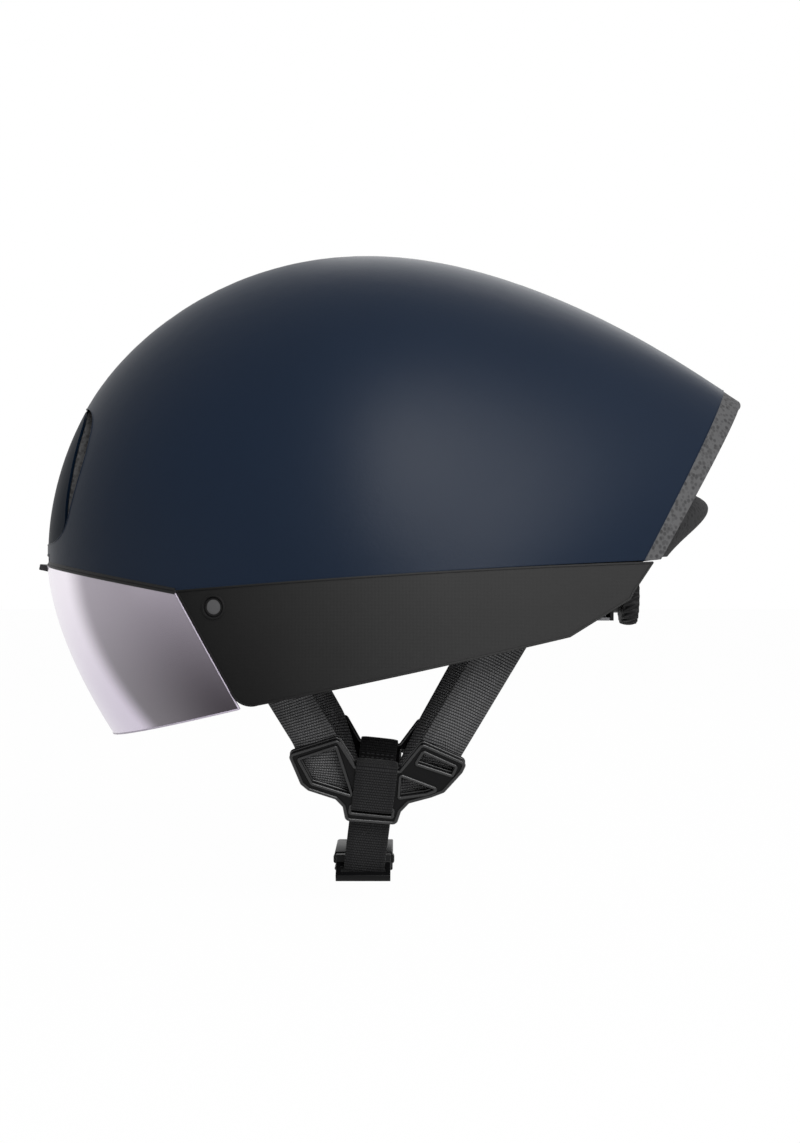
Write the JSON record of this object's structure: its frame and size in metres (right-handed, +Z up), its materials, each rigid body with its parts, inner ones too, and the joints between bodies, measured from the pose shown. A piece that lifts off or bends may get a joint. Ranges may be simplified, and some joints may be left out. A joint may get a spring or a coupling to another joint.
{
  "type": "aero time trial helmet",
  "caption": "Teardrop racing helmet: smooth shell on a foam liner, ear panels, magnetic lift-off visor, tail exhaust, dial retention cradle and buckled chin webbing.",
  "frame": {"origin": "centre of the head opening, midway between brow edge and liner heel on the plane of the ear panels' seam", "axes": "-X out of the brow, -Y out of the wearer's left ear panel, +Z up through the crown"},
  "size_m": [0.3089, 0.194, 0.2714],
  "materials": {
    "shell_navy": "satin moulded polycarbonate skin",
    "foam_dark": "expanded bead foam, dark grey",
    "panel_charcoal": "satin charcoal, fine weave",
    "button_grey": "smooth grey",
    "visor_lens": "mirror-coated smoke lens",
    "fitting_black": "moulded, satin",
    "knob_black": "soft-touch, ribbed",
    "cradle_grey": "moulded, satin",
    "magnet": "nickel-plated disc",
    "screw": "zinc-plated",
    "pad_cloth": "brushed knit over soft foam",
    "webbing": "ribbed woven tape",
    "divider_black": "satin moulded",
    "buckle_black": "satin moulded"
  },
  "bodies": {
    "helmet": {"belt_pin_left": "fitting_black", "belt_pin_right": "fitting_black", "brow_dock": "fitting_black", "brow_pad": "pad_cloth", "brow_trim": "fitting_black", "buckle_female": "buckle_black", "chin_strap_left": "webbing", "chin_strap_right": "webbing", "crown_pad": "pad_cloth", "divider_left": "divider_black", "divider_right": "divider_black", "dock_magnet_left": "magnet", "dock_magnet_right": "magnet", "ear_panel_left": "panel_charcoal", "ear_panel_right": "panel_charcoal", "eps_liner": "foam_dark", "exhaust_lip": "foam_dark", "front_anchor_left": "fitting_black", "front_anchor_right": "fitting_black", "front_strap_left": "webbing", "front_strap_right": "webbing", "height_rail": "fitting_black", "nose_bar": "shell_navy", "outer_shell": "shell_navy", "panel_button_left": "button_grey", "panel_button_right": "button_grey", "rear_anchor_left": "fitting_black", "rear_anchor_right": "fitting_black", "rear_strap_left": "webbing", "rear_strap_right": "webbing", "side_belt_left": "cradle_grey", "side_belt_right": "cradle_grey", "side_pad_left": "pad_cloth", "side_pad_right": "pad_cloth", "visor_dock_left": "fitting_black", "visor_dock_right": "fitting_black"},
    "visor": {"visor_lens": "visor_lens", "visor_pull_tab": "fitting_black", "visor_brow_clip": "fitting_black", "visor_tab_left": "fitting_black", "visor_tab_right": "fitting_black", "visor_magnet_left": "magnet", "visor_magnet_right": "magnet"},
    "height_carriage": {"height_carriage": "cradle_grey"},
    "cradle": {"cradle": "cradle_grey", "dial_housing": "fitting_black", "dial_cover": "fitting_black", "nape_pad_left": "pad_cloth", "nape_pad_right": "pad_cloth"},
    "dial": {"dial_knob": "knob_black", "dial_shaft": "fitting_black", "dial_screw": "screw"},
    "rack_left": {"rack_left": "cradle_grey"},
    "rack_right": {"rack_right": "cradle_grey"},
    "buckle_male": {"buckle_male": "buckle_black"},
    "buckle_prong_front": {"buckle_prong_front": "buckle_black"},
    "buckle_prong_rear": {"buckle_prong_rear": "buckle_black"}
  },
  "joints": [
    {"name": "visor_lift_off", "type": "slide", "parent": "helmet", "child": "visor", "axis": [-1, 0, 0], "range_m": [0, 0.06]},
    {"name": "height_adjust", "type": "slide", "parent": "helmet", "child": "height_carriage", "axis": [0, 0, 1], "range_m": [-0.008, 0.008]},
    {"name": "cradle_draw", "type": "slide", "parent": "height_carriage", "child": "cradle", "axis": [-1, 0, 0], "range_m": [0, 0.015]},
    {"name": "dial_turn", "type": "hinge", "parent": "cradle", "child": "dial", "pos_m": [0.128, 0, -0.0103], "axis": [1, 0, 0], "range_deg": [0, 172]},
    {"name": "rack_left_slide", "type": "slide", "parent": "cradle", "child": "rack_left", "axis": [0, 1, 0], "range_m": [0, 0.015]},
    {"name": "rack_right_slide", "type": "slide", "parent": "cradle", "child": "rack_right", "axis": [0, -1, 0], "range_m": [0, 0.015]},
    {"name": "buckle_release", "type": "slide", "parent": "helmet", "child": "buckle_male", "axis": [0, -1, 0], "range_m": [0, 0.018], "deforming": ["chin_strap_left"]},
    {"name": "buckle_prong_front_flex", "type": "hinge", "parent": "buckle_male", "child": "buckle_prong_front", "pos_m": [0.0035, -0.01915, -0.1255], "axis": [0, 0, -1], "range_deg": [0, 8], "stiffness_Nm_per_rad": 0.05},
    {"name": "buckle_prong_rear_flex", "type": "hinge", "parent": "buckle_male", "child": "buckle_prong_rear", "pos_m": [0.0183, -0.01915, -0.1255], "axis": [0, 0, 1], "range_deg": [0, 8], "stiffness_Nm_per_rad": 0.05}
  ],
  "couplings": [
    {"joint": "dial_turn", "follows": "cradle_draw", "rad_per_m": 200},
    {"joint": "rack_left_slide", "follows": "cradle_draw", "ratio": 1},
    {"joint": "rack_right_slide", "follows": "cradle_draw", "ratio": 1}
  ]
}
